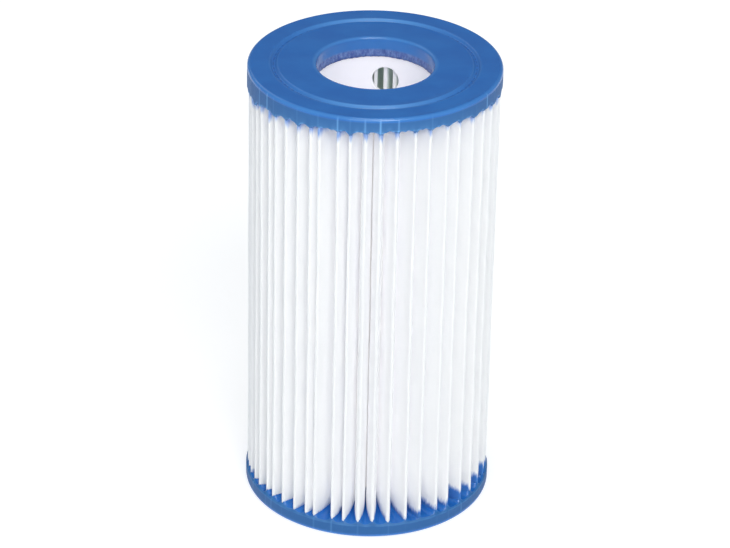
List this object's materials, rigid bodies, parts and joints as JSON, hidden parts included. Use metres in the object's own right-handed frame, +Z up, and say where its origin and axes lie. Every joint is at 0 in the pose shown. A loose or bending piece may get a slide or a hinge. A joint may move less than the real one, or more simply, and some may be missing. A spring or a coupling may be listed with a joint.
{
  "type": "pleated filter cartridge",
  "caption": "Cylindrical pleated filter cartridge for a pool or spa pump: blue cast end caps with an open bore at each end, white pleated media and a perforated core.",
  "frame": {"origin": "centre of the lower end cap's face, on the cartridge's axis, where it stands", "axes": "+Z up the cartridge's axis, -Y towards the side that faces the viewer, +X to the viewer's right"},
  "size_m": [0.108, 0.108, 0.203],
  "materials": {
    "cap_compound": "soft cast compound, satin, with a slight skin texture and a ragged edge between the pleats",
    "media": "white spunbond polyester with fine calender speckle, stained blue where the caps wick into it",
    "core_plastic": "white moulded plastic, glossy",
    "seam_glue": "translucent hot-melt glue, slightly yellow"
  },
  "bodies": {
    "root": {"top_end_cap": "cap_compound", "bottom_end_cap": "cap_compound", "pleated_media": "media", "core_tube": "core_plastic", "media_seam": "seam_glue"}
  },
  "joints": []
}
